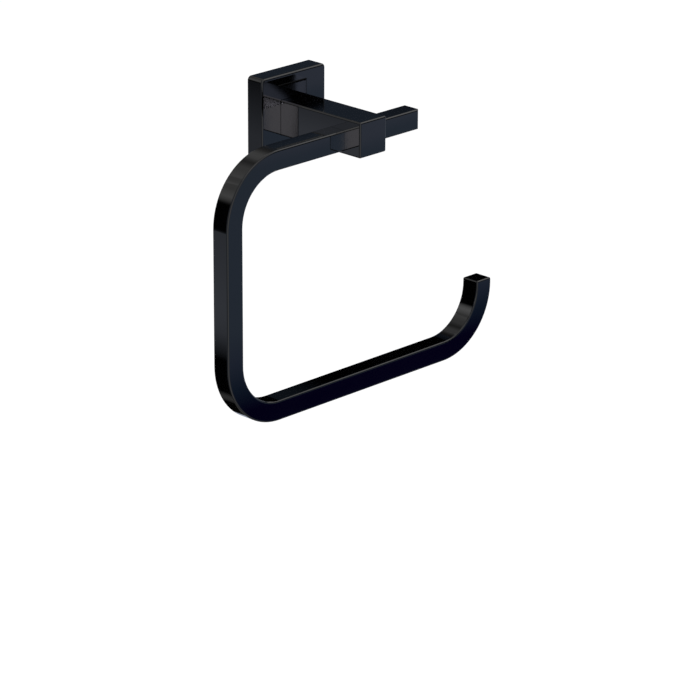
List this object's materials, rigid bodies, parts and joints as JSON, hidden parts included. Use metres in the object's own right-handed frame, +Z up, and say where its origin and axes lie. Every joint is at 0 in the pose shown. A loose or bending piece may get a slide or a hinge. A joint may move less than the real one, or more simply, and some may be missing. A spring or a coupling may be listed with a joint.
{
  "type": "square towel holder",
  "caption": "Wall-mounted towel holder: a square flange and arm carry a square bar bent into an open loop with an upturned end, in gloss black.",
  "frame": {"origin": "middle of the flange's back face, on the wall", "axes": "+Y into the wall, +X to the right along the wall as seen from the room, +Z up; the holder stands out along -Y"},
  "size_m": [0.2165, 0.075, 0.1825],
  "materials": {
    "gloss_black": "gloss black coating on solid metal",
    "plated_steel": "zinc-plated steel",
    "black_steel": "black oxide steel"
  },
  "bodies": {
    "root": {"wall_flange": "gloss_black", "support_arm": "gloss_black", "towel_bar": "gloss_black", "wall_bracket": "plated_steel", "flange_set_screw": "black_steel", "arm_screw": "plated_steel", "arm_washer": "plated_steel", "bar_set_screw": "black_steel"}
  },
  "joints": []
}
